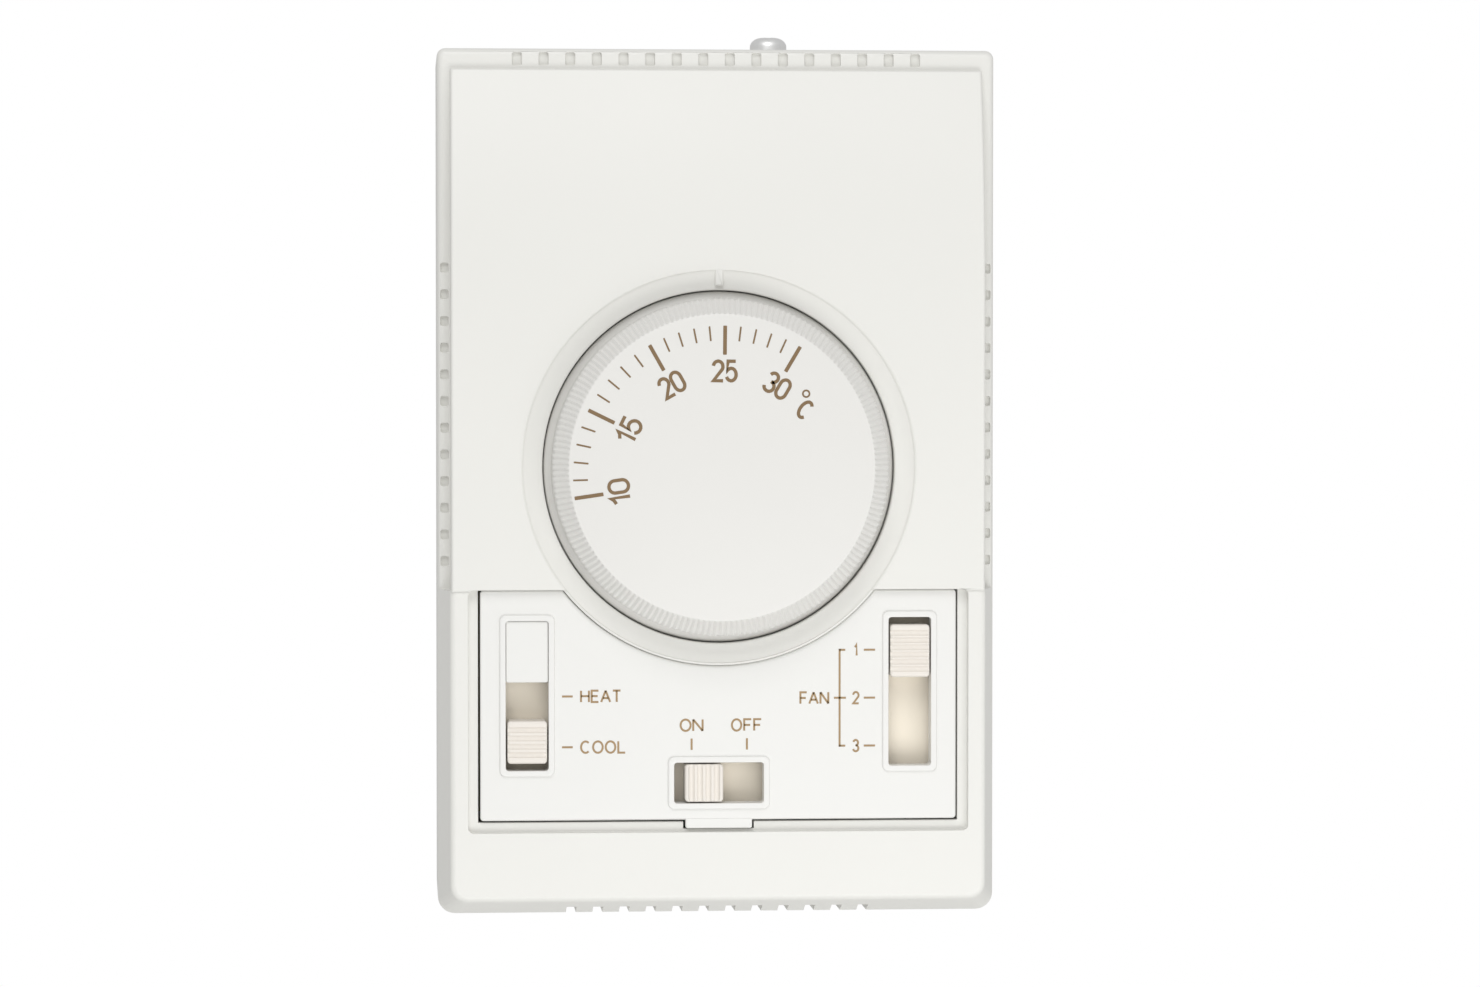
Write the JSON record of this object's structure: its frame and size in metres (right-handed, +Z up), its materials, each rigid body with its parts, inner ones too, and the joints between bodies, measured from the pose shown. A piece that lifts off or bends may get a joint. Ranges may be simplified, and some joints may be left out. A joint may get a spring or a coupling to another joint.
{
  "type": "wall thermostat",
  "caption": "Rectangular wall-mounted room thermostat with a round toothed setting dial, a recessed panel of slide switches and ventilation slots.",
  "frame": {"origin": "centre of the rear base plate's back face, on the wall", "axes": "+X to the right as seen from the front, +Z up, the front faces -Y and the wall is the plane y = 0"},
  "size_m": [0.084, 0.037, 0.1326],
  "materials": {
    "cover_plastic": "fine satin moulding, off-white",
    "base_plastic": "plain moulded grey",
    "zinc_steel": "zinc plated",
    "spindle_plastic": "natural acetal",
    "brass": "bright brass",
    "spring_steel": "bright spring wire",
    "lever_brass": "rolled sheet",
    "black_plastic": "phenolic",
    "plunger_plastic": "natural acetal",
    "board_laminate": "solder-masked laminate",
    "resistor_body": "lacquered ceramic",
    "capacitor_case": "dipped film",
    "switch_housing": "folded tinplate",
    "slider_plastic": "tan moulding",
    "knob_plastic": "cream moulding",
    "terminal_plastic": "moulded grey",
    "wire_insulation": "PVC"
  },
  "bodies": {
    "case": {"front_cover": "cover_plastic", "control_panel": "cover_plastic", "blanking_insert": "cover_plastic", "rear_base_plate": "base_plastic", "cover_screw": "zinc_steel", "cover_nut": "zinc_steel", "mechanism_bracket": "zinc_steel", "bracket_screw_1": "zinc_steel", "bracket_screw_2": "zinc_steel", "lever_pin": "zinc_steel", "lever_spring": "spring_steel", "spindle_bush": "brass", "snap_switch_body": "black_plastic", "snap_switch_terminal_1": "brass", "snap_switch_terminal_2": "brass", "snap_switch_terminal_3": "brass", "switch_screw_1": "zinc_steel", "switch_screw_2": "zinc_steel", "circuit_board": "board_laminate", "board_screw_1": "zinc_steel", "board_screw_2": "zinc_steel", "board_screw_3": "zinc_steel", "board_screw_4": "zinc_steel", "anticipator_resistor": "resistor_body", "suppressor_capacitor": "capacitor_case", "heat_cool_switch": "switch_housing", "on_off_switch": "switch_housing", "fan_switch": "switch_housing", "terminal_block": "terminal_plastic", "terminal_screw_1": "zinc_steel", "terminal_screw_2": "zinc_steel", "terminal_screw_3": "zinc_steel", "terminal_screw_4": "zinc_steel", "terminal_screw_5": "zinc_steel", "terminal_screw_6": "zinc_steel", "terminal_screw_7": "zinc_steel", "terminal_screw_8": "zinc_steel", "jumper_wire_1": "wire_insulation", "jumper_wire_2": "wire_insulation", "jumper_wire_3": "wire_insulation"},
    "dial": {"dial_knob": "cover_plastic", "cam_spindle": "spindle_plastic", "spindle_clip": "spring_steel"},
    "lever": {"cam_lever": "lever_brass", "bellows": "brass"},
    "plunger": {"snap_switch_plunger": "plunger_plastic"},
    "heat_cool_slide": {"heat_cool_slider": "slider_plastic", "heat_cool_knob": "knob_plastic"},
    "on_off_slide": {"on_off_slider": "slider_plastic", "on_off_knob": "knob_plastic"},
    "fan_slide": {"fan_slider": "slider_plastic", "fan_knob": "knob_plastic"}
  },
  "joints": [
    {"name": "dial_turn", "type": "hinge", "parent": "case", "child": "dial", "pos_m": [0, 0, 0.0023], "axis": [0, -1, 0], "range_deg": [-100, 32]},
    {"name": "lever_pivot", "type": "hinge", "parent": "case", "child": "lever", "pos_m": [-0.018, 0, 0.0126], "axis": [0, -1, 0], "range_deg": [-3.02, 0.98]},
    {"name": "plunger_press", "type": "slide", "parent": "case", "child": "plunger", "axis": [0, 0, 1], "range_m": [0, 0.0005], "stiffness_N_per_m": 400},
    {"name": "heat_cool_travel", "type": "slide", "parent": "case", "child": "heat_cool_slide", "axis": [0, 0, 1], "range_m": [0, 0.0054]},
    {"name": "on_off_travel", "type": "slide", "parent": "case", "child": "on_off_slide", "axis": [1, 0, 0], "range_m": [0, 0.0054]},
    {"name": "fan_travel", "type": "slide", "parent": "case", "child": "fan_slide", "axis": [0, 0, -1], "range_m": [0, 0.0128]}
  ],
  "couplings": [
    {"joint": "lever_pivot", "follows": "dial_turn", "ratio": 0.03}
  ]
}
